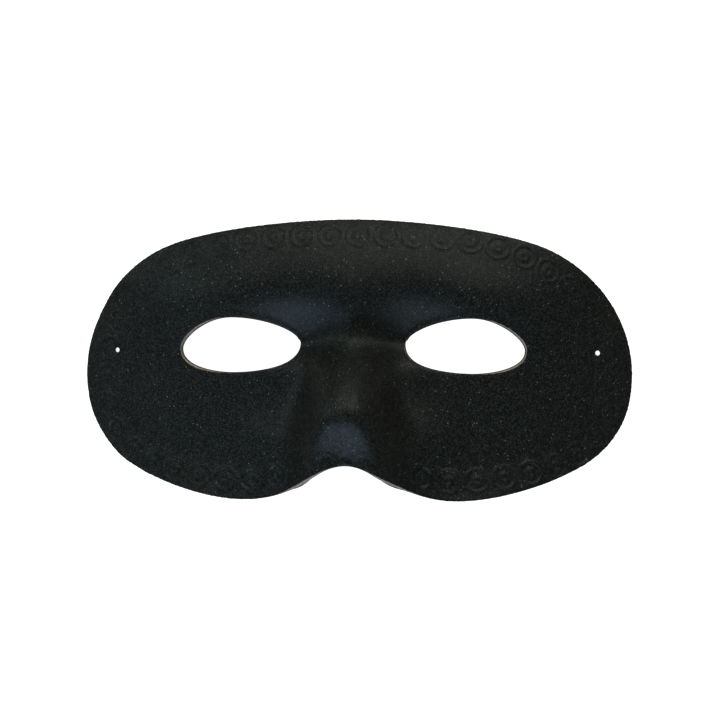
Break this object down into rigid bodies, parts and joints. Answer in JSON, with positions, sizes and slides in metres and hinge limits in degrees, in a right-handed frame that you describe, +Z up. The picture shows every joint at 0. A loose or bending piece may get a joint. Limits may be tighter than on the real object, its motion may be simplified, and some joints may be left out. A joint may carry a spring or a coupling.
{
  "type": "colombina mask",
  "caption": "Black half mask of cloth over a pressed fibre shell, curved round the face, with almond eye holes, a nose notch, an embossed ring border and elastic holes.",
  "frame": {"origin": "below the middle of the mask, on the surface that it lies on, face up", "axes": "+X along the mask's length, to the right in plan; +Y towards the forehead; +Z up, out of the face"},
  "size_m": [0.1804, 0.0912, 0.049],
  "materials": {
    "face_cloth": "black woven cloth, finely ribbed, with a low sheen",
    "moulded_shell": "beige-grey pressed fibre board, matt, fibrous at its cut edge",
    "back_lining": "thin dark matt fabric"
  },
  "bodies": {
    "root": {"face_cloth": "face_cloth", "moulded_shell": "moulded_shell", "back_lining": "back_lining"}
  },
  "joints": []
}
